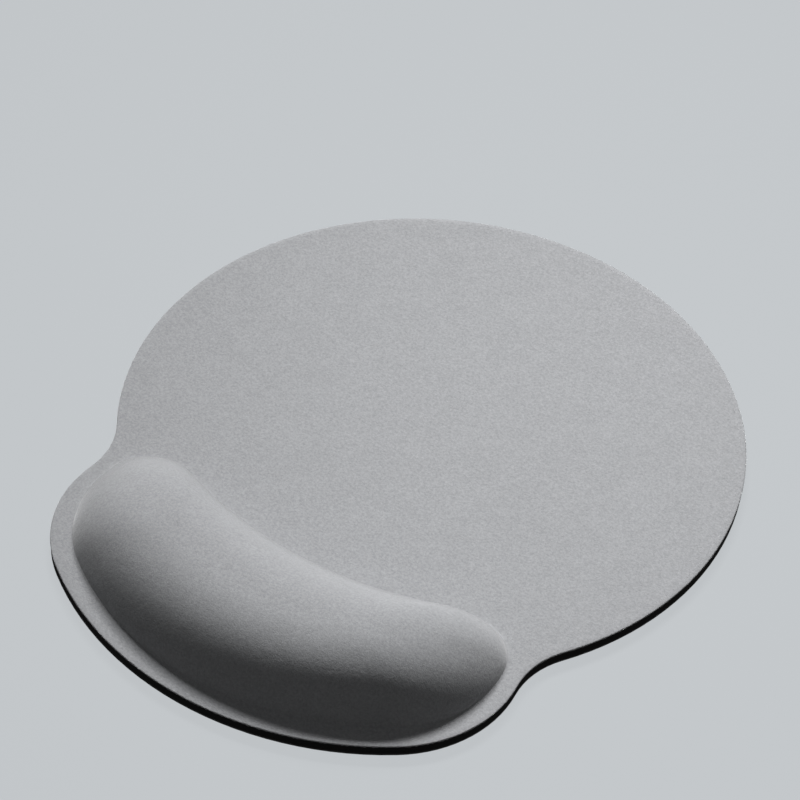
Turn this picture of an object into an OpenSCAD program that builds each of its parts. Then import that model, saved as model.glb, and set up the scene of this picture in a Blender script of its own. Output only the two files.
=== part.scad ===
// Mouse pad with a crescent wrist rest: a foam cushion on a rubber base, under one stretched fabric cover.
// +X is to the right, +Y runs from the wrist end to the far end and +Z is up.
// The origin is on the desk, under the middle of the pad's box.

/* [Outline] */
// Radius of the round mouse area, which is half the pad's width
pad_radius = 110; // [104:1:116]
// Distance from the front edge to the centre of the mouse area
pad_reach = 151.2; // [147:0.2:156]
// Radius of the broad front edge
front_radius = 114; // [108:1:120]
// Half of the angle that the broad front edge turns through
front_half_angle = 37.2; // [35:0.2:39]
// Radius of the two front corners
corner_radius = 46.7; // [44:0.1:49]
// Radius of the two waist notches
waist_radius = 30.5; // [24:0.5:36]

/* [Layers] */
// Thickness of the non-slip skin
grip_t = 0.8; // [0.6:0.1:1.2]
// Thickness of the rubber base sheet
base_t = 3.2; // [2.4:0.1:4]
// Thickness of the adhesive under the foam
bond_t = 0.2; // [0.1:0.05:0.3]
// Thickness of the hot-melt film that holds the fabric down
film_t = 0.12; // [0.1:0.02:0.2]
// Thickness of the fabric cover
fabric_t = 0.38; // [0.3:0.02:0.6]

/* [Wrist rest] */
// Height of the covered cushion's top above the desk
rest_h = 25; // [22:0.5:28]
// Width of the flat rim between the pad's front edge and the cushion
rest_margin = 7.3; // [6.5:0.1:8.5]
// Radius of the cushion's two ends
rest_corner_radius = 42; // [40:0.5:44]
// Distance from the front edge to the cushion's back, in the middle
rest_back = 73.4; // [71:0.1:76]
// Radius of the cushion's hollow back edge
back_radius = 150; // [140:1:160]
// Radius of the cushion's two back shoulders
shoulder_radius = 18; // [15:1:20]
// Distance from the front edge to the crest, in the middle
crest_mid = 37; // [35:0.5:40]
// Distance from the front edge to the crest, at its ends
crest_end = 44.4; // [42:0.1:47]
// Distance from the middle to each end of the crest
crest_reach = 36; // [32:1:40]
// Roundness of the cushion's crown: higher is flatter on top
crown_power = 2.5; // [2.2:0.1:3]
// Fullness of the cushion's sides: higher is steeper at the foot
side_power = 1.3; // [1.2:0.05:2]

/* [Underside] */
// Distance between the middles of two neighbouring grip cells
cell_pitch = 14; // [12:1:20]
// Width of the land between two grip cells
cell_land = 2.4; // [2:0.2:4]
// Depth of a grip cell
cell_depth = 0.3; // [0.2:0.1:0.5]
// Plain rim between the grip cells and the pad's edge
cell_rim = 4; // [3:1:8]

/* [Hidden] */

// Heights of the layers' faces above the desk
base_top = grip_t + base_t;
film_top = base_top + film_t;
fabric_top = film_top + fabric_t;
// A depth below the outside of the cover: at the fabric's underside, and at the foam
film_depth = fabric_t;
foam_depth = fabric_t + film_t;

// Centres of the outline's arcs, with the right-hand one of each pair
pad_length = pad_reach + pad_radius;
front_y = -pad_length / 2;
pad_centre = [0, front_y + pad_reach];
front_centre = [0, front_y + front_radius];
front_ray = [sin(front_half_angle), -cos(front_half_angle)];
corner_centre = front_centre + front_ray * (front_radius - corner_radius);
waist_centre = meeting_point(corner_centre, corner_radius + waist_radius, pad_centre, pad_radius + waist_radius);

// Centres of the arcs of the cushion's own edge, with the right-hand one of each pair
rest_corner_centre = front_centre + front_ray * (front_radius - rest_margin - rest_corner_radius);
back_centre = [0, front_y + rest_back + back_radius];
shoulder_centre = meeting_point(
    rest_corner_centre, rest_corner_radius - shoulder_radius, back_centre, back_radius + shoulder_radius
);
corner_to_shoulder = unit(shoulder_centre - rest_corner_centre);
shoulder_to_back = unit(back_centre - shoulder_centre);

// The cushion's surface is a net: columns along its length, and rows out from the crest to the foot on each side.
columns = 40;
rows = 10;
column_size = 2 * rows + 1;
feet = 2 * columns;

// How far a cutting shape passes the shape that it cuts
spare = 10;
// The sides of a true curve, wherever one is drawn
$fn = 180;

function unit(v) = v / norm(v);
function flip(p) = [-p[0], p[1]];
function mix(a, b, t) = a + (b - a) * t;

// The point to the right of the line from a to b that is ra from a and rb from b
function meeting_point(a, ra, b, rb) =
    let (
        span = norm(b - a),
        along = (ra * ra - rb * rb + span * span) / (2 * span),
        aside = sqrt(ra * ra - along * along),
        u = (b - a) / span
    )
    a + u * along + [u[1], -u[0]] * aside;

// How far above or below its centre a circle's edge is, x to the side of the centre
function rise(r, x) = sqrt(max(r * r - x * x, 0));

// The cushion's half length, and its front and back edge at a distance x from the middle, at a depth in the cover
function half_length(depth) = rest_corner_centre[0] + rest_corner_radius - depth;

function front_edge(x, depth) =
    let (front_r = front_radius - rest_margin - depth)
    x < front_ray[0] * front_r
        ? front_centre[1] - rise(front_r, x)
        : rest_corner_centre[1] - rise(rest_corner_radius - depth, x - rest_corner_centre[0]);

function back_edge(x, depth) =
    let (
        corner_r = rest_corner_radius - depth,
        shoulder_r = shoulder_radius - depth,
        corner_end = rest_corner_centre[0] + corner_r * corner_to_shoulder[0],
        shoulder_end = shoulder_centre[0] + shoulder_r * shoulder_to_back[0]
    )
    x > corner_end ? rest_corner_centre[1] + rise(corner_r, x - rest_corner_centre[0])
    : x > shoulder_end ? shoulder_centre[1] + rise(shoulder_r, x - shoulder_centre[0])
    : back_centre[1] - rise(back_radius + depth, x);

// How far along the cushion column i stands, from -1 at the left end to 1 at the right end
function along(i) = sin(180 * i / columns - 90);

// The crest's point and the foot's point in column i, with the foot in front for side -1 and behind for side 1
function crest_point(i) =
    let (x = crest_reach * sin(90 * along(i)))
    [x, front_y + mix(crest_mid, crest_end, pow(x / crest_reach, 2))];

function foot_point(i, side, depth) =
    let (x = half_length(depth) * along(i))
    [x, side < 0 ? front_edge(abs(x), depth) : back_edge(abs(x), depth)];

// The height of the flat cover's face at a depth, and the net's point in column i and row j
function flat_z(depth) = fabric_top - depth;

function net_point(i, j, depth) =
    let (
        r = sin(90 * abs(j) / rows),
        spot = mix(crest_point(i), foot_point(i, sign(j), depth), r),
        height = pow(1 - pow(r, crown_power), 1 / side_power)
    )
    [spot[0], spot[1], mix(flat_z(depth), rest_h - depth, height)];

function net_points(depth) = [for (i = [0:columns]) for (j = [-rows:rows]) net_point(i, j, depth)];

// The cushion ends in one point at each side, so an end column's front and back rows are the same points.
function net_index(i, j) = i * column_size + rows + (i == 0 || i == columns ? abs(j) : j);

function net_faces(start, outward) = [
    for (i = [0:columns - 1])
        for (j = [-rows:rows - 1])
            let (
                a = start + net_index(i, j),
                b = start + net_index(i + 1, j),
                c = start + net_index(i + 1, j + 1),
                d = start + net_index(i, j + 1)
            )
            each outward ? [[a, c, b], [a, d, c]] : [[a, b, c], [a, c, d]]
];

// The net's feet in order round the cushion, from its left end along the front and home along the back
function foot_column(k) = k <= columns ? k : feet - k;
function foot_side(k) = k <= columns ? -1 : 1;
function foot_index(k) = net_index(foot_column(k), foot_side(k) * rows);
function foot_ring(depth) = [for (k = [0:feet - 1]) foot_point(foot_column(k), foot_side(k), depth)];

function foot_points(depth, z) = [for (p = foot_ring(depth)) [p[0], p[1], z]];

// Joins two rings of points that start at a and b, with the outer or upper ring first
function band_faces(a, b) = [for (k = [0:feet - 1]) let (n = (k + 1) % feet) [a[k], a[n], b[n], b[k]]];

// The solid inside the cushion's surface at a depth in the cover, with a flat bottom
module hump_core(depth) {
    bottom = [
        for (i = [0:columns - 1])
            let (
                front = foot_index(i),
                next_front = foot_index(i + 1),
                back = foot_index(feet - i),
                next_back = foot_index(feet - i - 1)
            )
            for (t = [[front, next_front, next_back], [front, next_back, back]])
                if (t[0] != t[2] && t[1] != t[2]) t
    ];
    polyhedron(net_points(depth), concat(net_faces(0, true), bottom), convexity = 4);
}

// A cover's raised part: the skin between two depths, down to the flat cover's own underside
module hump_skin(outer, inner) {
    points = concat(net_points(outer), net_points(inner), foot_points(outer, flat_z(inner)));
    inside = (columns + 1) * column_size;
    outer_feet = [for (k = [0:feet - 1]) foot_index(k)];
    inner_feet = [for (k = [0:feet - 1]) foot_index(k) + inside];
    lower_feet = [for (k = [0:feet - 1]) 2 * inside + k];
    polyhedron(
        points,
        concat(
            net_faces(0, true),
            net_faces(inside, false),
            band_faces(outer_feet, lower_feet),
            band_faces(lower_feet, inner_feet)
        ),
        convexity = 6
    );
}

// The pad seen from above: the round mouse area, two corners, the broad front edge and the two waist notches
module outline() {
    notches = [waist_centre, flip(waist_centre)];
    far_ray = front_ray * 2 * front_radius;
    translate(pad_centre) circle(pad_radius);
    for (centre = [corner_centre, flip(corner_centre)]) translate(centre) circle(corner_radius);
    intersection() {
        translate(front_centre) circle(front_radius);
        translate(front_centre) polygon([[0, 0], flip(far_ray), far_ray]);
    }
    difference() {
        polygon([corner_centre, waist_centre, pad_centre, flip(waist_centre), flip(corner_centre)]);
        for (centre = notches) translate(centre) circle(waist_radius);
    }
}

// A cover laid over the whole pad, from one depth in it to another, and raised over the cushion
module cover(outer, inner) {
    translate([0, 0, flat_z(inner)]) linear_extrude(inner - outer) difference() {
        outline();
        polygon(foot_ring(outer));
    }
    hump_skin(outer, inner);
}

// The space that the adhesive under the foam takes
module adhesive_layer() {
    translate([-pad_radius, front_y, base_top]) cube([2 * pad_radius, pad_length, bond_t]);
}

// The grip cells are hexagons in rows. Every other row is shifted by half a pitch, and a land crosses the middle.
cell_radius = (cell_pitch - cell_land) / 2 / cos(30);
cell_step = cell_pitch * cos(30);
cell_rows = ceil(pad_length / 2 / cell_step);
cell_files = ceil(pad_radius / cell_pitch) + 1;
cells = [
    for (row = [-cell_rows:cell_rows])
        for (file = [-cell_files:cell_files])
            let (p = [(file + (row % 2 == 0 ? 0.5 : 0)) * cell_pitch, row * cell_step])
            if (cell_fits(p)) p
];

function cell_fits(p) =
    let (
        gap = cell_rim + cell_radius,
        side = [abs(p[0]), p[1]],
        between = p[1] > corner_centre[1] && p[1] < pad_centre[1]
    )
    norm(p - pad_centre) < pad_radius - gap
    || norm(side - corner_centre) < corner_radius - gap
    || (side[0] < corner_centre[0] && p[1] < pad_centre[1] && norm(p - front_centre) < front_radius - gap)
    || (between && side[0] < waist_centre[0] - waist_radius - gap);

module grip_skin() {
    color("#1b1b1c") difference() {
        linear_extrude(grip_t) outline();
        for (p = cells)
            translate([p[0], p[1], -spare]) rotate(30) cylinder(r = cell_radius, h = spare + cell_depth, $fn = 6);
    }
}

module base_sheet() {
    color("#141415") translate([0, 0, grip_t]) linear_extrude(base_t) outline();
}

module foam_bond_sheet() {
    color("#c9c2a8") intersection() {
        hump_core(foam_depth);
        adhesive_layer();
    }
}

module wrist_foam() {
    color("#e6dcc0") difference() {
        hump_core(foam_depth);
        adhesive_layer();
    }
}

module fabric_bond_film() {
    color("#8f9297") cover(film_depth, foam_depth);
}

module top_fabric() {
    color("#8b8c8e") cover(0, film_depth);
}

grip_skin();
base_sheet();
foam_bond_sheet();
wrist_foam();
fabric_bond_film();
top_fabric();
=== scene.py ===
import math

import bmesh
import bpy
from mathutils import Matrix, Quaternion, Vector, noise


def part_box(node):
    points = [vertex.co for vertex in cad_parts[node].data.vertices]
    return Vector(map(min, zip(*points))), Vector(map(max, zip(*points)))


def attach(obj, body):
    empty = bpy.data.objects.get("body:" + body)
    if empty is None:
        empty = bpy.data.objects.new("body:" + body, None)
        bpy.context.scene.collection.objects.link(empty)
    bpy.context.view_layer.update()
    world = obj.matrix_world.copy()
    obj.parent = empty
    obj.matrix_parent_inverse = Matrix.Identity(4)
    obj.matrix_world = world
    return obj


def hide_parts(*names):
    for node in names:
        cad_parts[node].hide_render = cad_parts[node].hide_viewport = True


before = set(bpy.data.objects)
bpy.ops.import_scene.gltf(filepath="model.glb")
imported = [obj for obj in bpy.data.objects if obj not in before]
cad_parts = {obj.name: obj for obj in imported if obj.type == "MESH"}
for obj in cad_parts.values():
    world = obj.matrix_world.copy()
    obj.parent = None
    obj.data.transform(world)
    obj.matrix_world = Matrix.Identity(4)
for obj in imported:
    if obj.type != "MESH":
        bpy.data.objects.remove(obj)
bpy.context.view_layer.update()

MM = 0.001

# The camera looks down at the pad from the front right, through a long lens.
CAMERA_AZIMUTH = math.radians(30.15)
CAMERA_HEIGHT = math.radians(44.94)
CAMERA_ROLL = math.radians(4.10)
CAMERA_DISTANCE = 1591.9 * MM
CAMERA_LENS_MM = 202.5
CAMERA_REACH = 10
LOOKED_AT = Vector((-20.1, 31.2, 0)) * MM

# The floor mostly glows by itself, and a small share of its colour takes light and shadow.
FLOOR_COLOUR = (0.546, 0.571, 0.591)
FLOOR_GLOW = 0.94
FLOOR_SHARE = 0.06
FLOOR_GAP = 0.05 * MM
FLOOR_SIZE = 4

# Three lamps stand in a row behind the pad, on its left. They are aimed past its middle, so that
# its left end is dimmer. Azimuths are clockwise from straight behind the pad.
LAMP_AZIMUTHS = [math.radians(angle) for angle in (-20, -33, -47)]
LAMP_HEIGHT = math.radians(41.5)
LAMP_DISTANCE = 3.2
LAMP_RADIUS = 0.25
LAMP_CONE = math.radians(17)
LAMP_POWER = 262
LAMP_AIM = Vector((70, 50, 0)) * MM
WORLD_GLOW = 0.1

# The layers' heights and the pad's reach come from the CAD parts.
fabric_low, fabric_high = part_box("top_fabric")
film_low, film_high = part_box("fabric_bond_film")
foam_low, foam_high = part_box("wrist_foam")
base_low, base_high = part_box("base_sheet")
FABRIC_THICK = fabric_high.z - film_high.z
COVER_THICK = fabric_high.z - foam_high.z
FLAT_Z = base_high.z + COVER_THICK
REST_Z = fabric_high.z
FRONT_Y = fabric_low.y
FAR_Y = fabric_high.y

# The outline's arcs
PAD_RADIUS = fabric_high.x
FRONT_RADIUS = 114 * MM
FRONT_HALF_ANGLE = math.radians(37.2)
CORNER_RADIUS = 46.7 * MM
WAIST_RADIUS = 30.5 * MM

# The cushion's own edge and crest, as the CAD has them
REST_MARGIN = 7.3 * MM
REST_CORNER_RADIUS = 42 * MM
REST_BACK = 73.4 * MM
BACK_RADIUS = 150 * MM
SHOULDER_RADIUS = 18 * MM
CREST_MID = 37 * MM
CREST_END = 44.4 * MM
CREST_REACH = 36 * MM
CROWN_POWER = 2.5
SIDE_POWER = 1.3

# How finely the cushion and the outline are divided
COLUMNS = 160
ROWS = 40
FRONT_STEPS, CORNER_STEPS, WAIST_STEPS, PAD_STEPS = 44, 32, 14, 70
FLAT_EDGES_MM = (64, 32, 16)
EDGE_FINENESS = 8
# The cover bridges the corner round the cushion's foot: how high it stands at the foot itself,
# then in mm how far out each ring of it lies and how high it still stands
FOOT_LIFT = 0.45 * MM
FOOT_RINGS = [(0.25, 0.28), (0.55, 0.16), (0.95, 0.07), (1.5, 0.02), (2.2, 0), (3, 0)]

# The cover is flat up to here, and its last rings roll over the base's edge:
# how far inside the pad's edge each lies, or outside it if negative, and how far down
FLAT_INSET = 1.8 * MM
EDGE_RINGS = [(0.2 * MM, 0), (-0.12 * MM, 0.1 * MM), (-0.24 * MM, 0.35 * MM)]
# Single cut threads stray from the edge
THREAD_STRAY = 0.3 * MM
THREAD_PITCH = 0.9 * MM

# The fabric's sheen, and the shares at which a blend of two colours starts and ends
SHEEN_WEIGHT = 0.7
SHEEN_ROUGHNESS = 0.35
BLEND_START = 0.3
BLEND_END = 0.7


def turned(angle):
    return Vector((math.cos(angle), math.sin(angle)))


def meeting_point(a, from_a, b, from_b):
    """The point right of the line from a to b, from_a away from a and from_b away from b."""
    span = (b - a).length
    along = (from_a ** 2 - from_b ** 2 + span ** 2) / (2 * span)
    aside = math.sqrt(from_a ** 2 - along ** 2)
    u = (b - a) / span
    return a + u * along + Vector((u.y, -u.x)) * aside


def rise(radius, x):
    return math.sqrt(max(radius ** 2 - x ** 2, 0))


front_ray = turned(FRONT_HALF_ANGLE - math.pi / 2)
pad_centre = Vector((0, FAR_Y - PAD_RADIUS))
front_centre = Vector((0, FRONT_Y + FRONT_RADIUS))
corner_centre = front_centre + front_ray * (FRONT_RADIUS - CORNER_RADIUS)
waist_centre = meeting_point(
    corner_centre, CORNER_RADIUS + WAIST_RADIUS, pad_centre, PAD_RADIUS + WAIST_RADIUS
)
rest_corner_centre = front_centre + front_ray * (FRONT_RADIUS - REST_MARGIN - REST_CORNER_RADIUS)
back_centre = Vector((0, FRONT_Y + REST_BACK + BACK_RADIUS))
shoulder_centre = meeting_point(
    rest_corner_centre, REST_CORNER_RADIUS - SHOULDER_RADIUS, back_centre, BACK_RADIUS + SHOULDER_RADIUS
)
corner_to_shoulder = (shoulder_centre - rest_corner_centre).normalized()
shoulder_to_back = (back_centre - shoulder_centre).normalized()


def front_edge(x, depth):
    front_r = FRONT_RADIUS - REST_MARGIN - depth
    if x < front_ray.x * front_r:
        return front_centre.y - rise(front_r, x)
    return rest_corner_centre.y - rise(REST_CORNER_RADIUS - depth, x - rest_corner_centre.x)


def back_edge(x, depth):
    corner_r = REST_CORNER_RADIUS - depth
    shoulder_r = SHOULDER_RADIUS - depth
    if x > rest_corner_centre.x + corner_r * corner_to_shoulder.x:
        return rest_corner_centre.y + rise(corner_r, x - rest_corner_centre.x)
    if x > shoulder_centre.x + shoulder_r * shoulder_to_back.x:
        return shoulder_centre.y + rise(shoulder_r, x - shoulder_centre.x)
    return back_centre.y - rise(BACK_RADIUS + depth, x)


def foot_point(along, behind, depth):
    """A point of the cushion's edge at a depth under the cover's face, or outside it if negative."""
    x = (rest_corner_centre.x + REST_CORNER_RADIUS - depth) * along
    return Vector((x, (back_edge if behind else front_edge)(abs(x), depth)))


def crest_point(along):
    x = CREST_REACH * math.sin(math.pi / 2 * along)
    return Vector((x, FRONT_Y + CREST_MID + (CREST_END - CREST_MID) * (x / CREST_REACH) ** 2))


def cushion_point(along, behind, out, depth):
    """A point of the cushion's surface: out is 0 on the crest and 1 at the foot."""
    spot = crest_point(along).lerp(foot_point(along, behind, depth), out)
    height = (1 - out ** CROWN_POWER) ** (1 / SIDE_POWER)
    flat = FLAT_Z - depth
    return Vector((spot.x, spot.y, flat + (REST_Z - depth - flat) * height))


def add_piece(name, bm, material):
    mesh = bpy.data.meshes.new(name)
    bm.to_mesh(mesh)
    bm.free()
    mesh.materials.append(material)
    mesh.polygons.foreach_set("use_smooth", [True] * len(mesh.polygons))
    piece = bpy.data.objects.new(name, mesh)
    bpy.context.scene.collection.objects.link(piece)
    return piece


def cushion_net(bm, depth, rings=()):
    """The cushion's surface as a grid over the crest, with rings outside its foot.

    Returns the grid's outer edges.
    """
    rows = ROWS + len(rings)
    grid = bmesh.ops.create_grid(bm, x_segments=COLUMNS, y_segments=2 * rows, size=1)["verts"]
    for vert in grid:
        along = math.sin(math.pi / 2 * vert.co.x)
        row = round(vert.co.y * rows)
        if abs(row) <= ROWS:
            out = math.sin(math.pi / 2 * abs(row) / ROWS)
            vert.co = cushion_point(along, row > 0, out, depth)
            vert.co.z = max(vert.co.z, FLAT_Z - depth + (FOOT_LIFT if rings else 0))
        else:
            away, up = rings[abs(row) - ROWS - 1]
            foot = foot_point(along, row > 0, depth - away * MM)
            vert.co = (foot.x, foot.y, FLAT_Z - depth + up * MM)
    bmesh.ops.remove_doubles(bm, verts=grid, dist=MM / 1000)
    return open_edges(bm)


def open_edges(bm):
    return [edge for edge in bm.edges if edge.is_boundary]


def swing(bm, vert, centre, end_angle, steps):
    """Carries a vertex round a centre to an angle, and leaves edges behind it."""
    arm = vert.co.xy - centre
    turn = end_angle - math.atan2(arm.y, arm.x)
    made = bmesh.ops.spin(
        bm, geom=[vert], cent=(centre.x, centre.y, vert.co.z), axis=(0, 0, 1), angle=turn, steps=steps
    )
    return made["geom_last"][0]


def angle_of(a, b):
    return math.atan2((b - a).y, (b - a).x)


def pad_outline(bm, inset):
    """The pad's outline, a little inside its edge: the right half as arcs, and its mirror image."""
    before = set(bm.verts)
    start = bmesh.ops.create_vert(bm, co=(0, FRONT_Y + inset, FLAT_Z))["vert"][0]
    vert = swing(bm, start, front_centre, FRONT_HALF_ANGLE - math.pi / 2, FRONT_STEPS)
    vert = swing(bm, vert, corner_centre, angle_of(corner_centre, waist_centre), CORNER_STEPS)
    waist_end = angle_of(waist_centre, pad_centre) - 2 * math.pi
    vert = swing(bm, vert, waist_centre, waist_end, WAIST_STEPS)
    swing(bm, vert, pad_centre, math.pi / 2, PAD_STEPS)
    half = [v for v in bm.verts if v not in before]
    bmesh.ops.mirror(bm, geom=half + loose_edges(half), axis="X", merge_dist=MM / 1000)
    return loose_edges([v for v in bm.verts if v not in before])


def loose_edges(verts):
    """The wire edges at some vertices, each once and always in the same order."""
    return list(dict.fromkeys(edge for vert in verts for edge in vert.link_edges if edge.is_wire))


def flat_faces(bm, cushion):
    return [face for face in bm.faces if face not in cushion]


def flat_edges(bm, cushion, rims):
    """The edges inside the flat cover, always in the same order."""
    kept = set(rims)
    edges = [edge for face in flat_faces(bm, cushion) for edge in face.edges if edge not in kept]
    return list(dict.fromkeys(edges))


def fill_flat(bm, rims):
    """Fills the flat cover between its rims with triangles, and halves their long edges a few times."""
    cushion = set(bm.faces)
    bmesh.ops.triangle_fill(bm, edges=rims, use_beauty=True)
    for longest in FLAT_EDGES_MM:
        long = [edge for edge in flat_edges(bm, cushion, rims) if edge.calc_length() > longest * MM]
        bmesh.ops.subdivide_edges(bm, edges=long, cuts=1)
        bmesh.ops.triangulate(bm, faces=flat_faces(bm, cushion))
        bmesh.ops.beautify_fill(bm, faces=flat_faces(bm, cushion), edges=flat_edges(bm, cushion, rims))


def widen(bm, width, drop):
    """Adds a ring of faces all round the cover's open edge, and returns its outer edges."""
    ring = bmesh.ops.extrude_edge_only(bm, edges=open_edges(bm))["geom"]
    moves = {}
    for vert in [part for part in ring if isinstance(part, bmesh.types.BMVert)]:
        before, after = [edge.other_vert(vert).co for edge in vert.link_edges if edge.is_boundary]
        outward = (after - before).cross(Vector((0, 0, 1))).normalized()
        moves[vert] = outward * math.copysign(width, outward.dot(vert.co))
    for vert, move in moves.items():
        vert.co += move
        vert.co.z = FLAT_Z - drop
    return open_edges(bm)


def roll_edge(bm):
    """Rolls the cover's edge over the base, and divides it finely enough for single threads."""
    edges = []
    reached = FLAT_INSET
    for inset, drop in EDGE_RINGS:
        edges += widen(bm, reached - inset, drop)
        reached = inset
    bmesh.ops.subdivide_edges(bm, edges=edges, cuts=EDGE_FINENESS - 1, use_grid_fill=True)


def fray(bm):
    """Moves each cut thread at the cover's edge a little up or down, and a third as far out."""
    for vert in [vert for vert in bm.verts if vert.is_boundary]:
        stray = noise.noise(vert.co / THREAD_PITCH) * THREAD_STRAY
        vert.co += Vector((vert.co.x, vert.co.y, 0)).normalized() * abs(stray) / 3
        vert.co.z += stray


def make_fabric():
    bm = bmesh.new()
    foot = cushion_net(bm, 0, FOOT_RINGS)
    fill_flat(bm, foot + pad_outline(bm, FLAT_INSET))
    roll_edge(bm)
    fray(bm)
    bmesh.ops.recalc_face_normals(bm, faces=bm.faces)
    if sum(face.normal.z for face in bm.faces) < 0:
        bmesh.ops.reverse_faces(bm, faces=bm.faces)
    cover = add_piece("fabric_cover", bm, knitted_fabric())
    thickness = cover.modifiers.new("thickness", "SOLIDIFY")
    thickness.thickness = FABRIC_THICK
    thickness.offset = -1
    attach(cover, "root")
    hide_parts("top_fabric")


def make_foam():
    bm = bmesh.new()
    cushion_net(bm, COVER_THICK)
    geometry = bm.verts[:] + bm.edges[:] + bm.faces[:]
    bmesh.ops.bisect_plane(
        bm, geom=geometry, plane_co=(0, 0, foam_low.z), plane_no=(0, 0, 1), clear_inner=True
    )
    bmesh.ops.holes_fill(bm, edges=open_edges(bm))
    bmesh.ops.recalc_face_normals(bm, faces=bm.faces)
    cushion = add_piece("foam_cushion", bm, open_cell_foam())
    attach(cushion, "root")
    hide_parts("wrist_foam")


def new_material(name, colour, roughness):
    material = bpy.data.materials.new(name)
    material.use_nodes = True
    shader = material.node_tree.nodes["Principled BSDF"]
    shader.inputs["Base Color"].default_value = (*colour, 1)
    shader.inputs["Roughness"].default_value = roughness
    return material, shader


def add_node(material, kind, **inputs):
    """Adds a shader node, and links or sets its inputs by name, with _ for a space."""
    node = material.node_tree.nodes.new(kind)
    for name, value in inputs.items():
        socket = node.inputs[name.replace("_", " ")]
        if isinstance(value, bpy.types.NodeSocket):
            material.node_tree.links.new(value, socket)
        else:
            socket.default_value = value
    return node


def grain(material, size_mm, detail=2.0, roughness=0.5):
    """Noise of a certain size, from 0 to 1, that runs through the piece."""
    place = add_node(material, "ShaderNodeTexCoord").outputs["Object"]
    scale = 1 / (size_mm * MM)
    texture = add_node(
        material, "ShaderNodeTexNoise", Vector=place, Scale=scale, Detail=detail, Roughness=roughness
    )
    return texture.outputs["Fac"]


def blend(material, share, low, high):
    """A colour between two, by a share whose middle part is spread over the full range."""
    ramp = add_node(material, "ShaderNodeValToRGB", Fac=share)
    ramp.color_ramp.elements[0].position = BLEND_START
    ramp.color_ramp.elements[1].position = BLEND_END
    ramp.color_ramp.elements[0].color = (*low, 1)
    ramp.color_ramp.elements[1].color = (*high, 1)
    return ramp.outputs["Color"]


def times(material, a, b):
    mix = material.node_tree.nodes.new("ShaderNodeMix")
    mix.data_type = "RGBA"
    mix.blend_type = "MULTIPLY"
    mix.inputs["Factor"].default_value = 1
    material.node_tree.links.new(a, mix.inputs["A"])
    material.node_tree.links.new(b, mix.inputs["B"])
    return mix.outputs["Result"]


def bump(material, shader, *layers):
    """Raises the surface by layers, each a height from 0 to 1 and how many mm it stands for."""
    normal = None
    for height, depth_mm in layers:
        node = add_node(material, "ShaderNodeBump", Height=height, Distance=depth_mm * MM, Strength=1.0)
        if normal:
            material.node_tree.links.new(normal, node.inputs["Normal"])
        normal = node.outputs["Normal"]
    material.node_tree.links.new(normal, shader.inputs["Normal"])


def grey(value):
    return (value, value, value)


def knitted_fabric():
    material, shader = new_material("knitted_cover", (0.33, 0.335, 0.35), 0.95)
    nap = grain(material, 0.85, 3.0, 0.75)
    cloud = grain(material, 9, 4.0, 0.65)
    dye = blend(material, nap, (0.265, 0.27, 0.28), (0.385, 0.39, 0.403))
    shade = blend(material, cloud, grey(0.95), grey(1.0))
    material.node_tree.links.new(times(material, dye, shade), shader.inputs["Base Color"])
    shader.inputs["Sheen Weight"].default_value = SHEEN_WEIGHT
    shader.inputs["Sheen Roughness"].default_value = SHEEN_ROUGHNESS
    fuzz = grain(material, 0.4, 2.0, 0.6)
    bump(material, shader, (cloud, 0.2), (nap, 0.06), (fuzz, 0.06))
    return material


def open_cell_foam():
    material, shader = new_material("open_cell_foam", (0.5, 0.48, 0.42), 0.9)
    cells = grain(material, 0.6, 2.0, 0.6)
    dye = blend(material, cells, (0.36, 0.34, 0.29), (0.62, 0.6, 0.53))
    material.node_tree.links.new(dye, shader.inputs["Base Color"])
    bump(material, shader, (cells, 0.25))
    return material


def foamed_rubber():
    material, shader = new_material("foamed_rubber", (0.008, 0.008, 0.009), 0.75)
    cells = grain(material, 0.5, 2.0, 0.6)
    dye = blend(material, cells, grey(0.004), grey(0.012))
    material.node_tree.links.new(dye, shader.inputs["Base Color"])
    shader.inputs["Specular IOR Level"].default_value = 0.25
    bump(material, shader, (cells, 0.12))
    return material


def moulded_rubber():
    material, shader = new_material("moulded_rubber", (0.012, 0.012, 0.013), 0.6)
    wear = grain(material, 12, 4.0, 0.6)
    skin = grain(material, 0.35, 1.0, 0.5)
    dye = blend(material, wear, grey(0.016), grey(0.028))
    material.node_tree.links.new(dye, shader.inputs["Base Color"])
    bump(material, shader, (skin, 0.03))
    return material


def bonding_film():
    material, shader = new_material("bonding_film", (0.02, 0.02, 0.022), 0.45)
    ripple = grain(material, 1.5, 2.0, 0.5)
    dye = blend(material, ripple, grey(0.014), grey(0.03))
    material.node_tree.links.new(dye, shader.inputs["Base Color"])
    bump(material, shader, (ripple, 0.03))
    return material


def cured_adhesive():
    material, shader = new_material("cured_adhesive", (0.6, 0.52, 0.35), 0.35)
    beads = grain(material, 2.5, 3.0, 0.6)
    dye = blend(material, beads, (0.5, 0.42, 0.26), (0.66, 0.6, 0.44))
    material.node_tree.links.new(dye, shader.inputs["Base Color"])
    bump(material, shader, (beads, 0.08))
    return material


def finish_layers():
    """Gives the layers under the cover their own finishes."""
    finishes = {
        "base_sheet": foamed_rubber,
        "grip_skin": moulded_rubber,
        "fabric_bond_film": bonding_film,
        "foam_bond_sheet": cured_adhesive,
    }
    for node, finish in finishes.items():
        material = finish()
        for slot in bpy.data.objects[node].material_slots:
            slot.material = material


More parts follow.
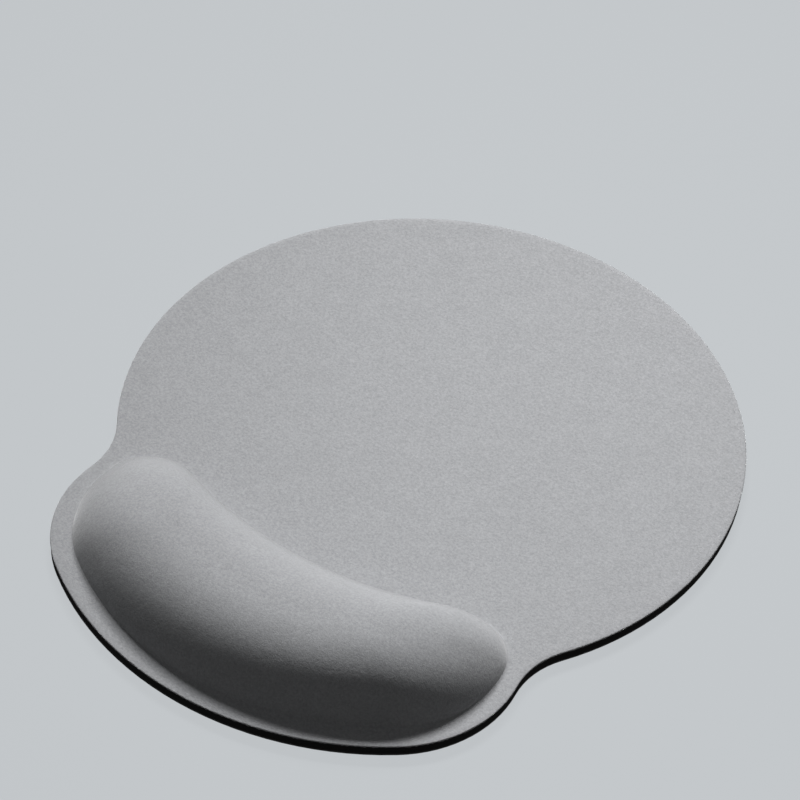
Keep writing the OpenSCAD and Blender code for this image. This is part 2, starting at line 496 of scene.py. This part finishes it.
def make_camera():
    level = math.cos(CAMERA_HEIGHT)
    across = math.sin(CAMERA_AZIMUTH) * level
    away = math.cos(CAMERA_AZIMUTH) * level
    back = Vector((across, -away, math.sin(CAMERA_HEIGHT)))
    data = bpy.data.cameras.new("camera")
    data.lens = CAMERA_LENS_MM
    data.clip_end = CAMERA_REACH
    camera = bpy.data.objects.new("camera", data)
    camera.rotation_mode = "QUATERNION"
    camera.location = LOOKED_AT + back * CAMERA_DISTANCE
    camera.rotation_quaternion = (-back).to_track_quat("-Z", "Y") @ Quaternion((0, 0, 1), CAMERA_ROLL)
    bpy.context.scene.collection.objects.link(camera)
    bpy.context.scene.camera = camera


def open_from_below(material, shader):
    """Makes a material clear on its lower side, so that the pad's underside can be looked at."""
    lower = add_node(material, "ShaderNodeNewGeometry").outputs["Backfacing"]
    clear = add_node(material, "ShaderNodeBsdfTransparent").outputs["BSDF"]
    mix = add_node(material, "ShaderNodeMixShader", Fac=lower)
    links = material.node_tree.links
    links.new(shader.outputs["BSDF"], mix.inputs[1])
    links.new(clear, mix.inputs[2])
    links.new(mix.outputs["Shader"], material.node_tree.nodes["Material Output"].inputs["Surface"])


def make_floor():
    bm = bmesh.new()
    bmesh.ops.create_grid(bm, x_segments=1, y_segments=1, size=FLOOR_SIZE)
    bmesh.ops.translate(bm, verts=bm.verts, vec=(0, 0, -FLOOR_GAP))
    material, shader = new_material("floor", [FLOOR_SHARE * part for part in FLOOR_COLOUR], 1)
    shader.inputs["Emission Color"].default_value = (*FLOOR_COLOUR, 1)
    shader.inputs["Emission Strength"].default_value = FLOOR_GLOW
    shader.inputs["Specular IOR Level"].default_value = 0
    floor = add_piece("floor", bm, material)
    open_from_below(material, shader)
    floor.visible_diffuse = False
    floor.visible_glossy = False


def place_lamp(data, azimuth):
    """Places a lamp at an azimuth clockwise from straight behind the pad, facing its aim."""
    light = bpy.data.objects.new(data.name, data)
    level = math.cos(LAMP_HEIGHT)
    back = Vector((level * math.sin(azimuth), level * math.cos(azimuth), math.sin(LAMP_HEIGHT)))
    light.location = LAMP_AIM + back * LAMP_DISTANCE
    light.rotation_euler = (-back).to_track_quat("-Z", "Y").to_euler()
    bpy.context.scene.collection.objects.link(light)


def make_lights():
    for azimuth in LAMP_AZIMUTHS:
        lamp = bpy.data.lights.new("lamp", "SPOT")
        lamp.energy = LAMP_POWER
        lamp.shadow_soft_size = LAMP_RADIUS
        lamp.spot_size = LAMP_CONE
        lamp.spot_blend = 1
        place_lamp(lamp, azimuth)
    world = bpy.data.worlds.new("studio")
    world.use_nodes = True
    world.node_tree.nodes["Background"].inputs["Color"].default_value = (1, 1, 1, 1)
    world.node_tree.nodes["Background"].inputs["Strength"].default_value = WORLD_GLOW
    bpy.context.scene.world = world
    bpy.context.scene.view_settings.view_transform = "Standard"


make_camera()
make_floor()
make_lights()
make_fabric()
make_foam()
finish_layers()
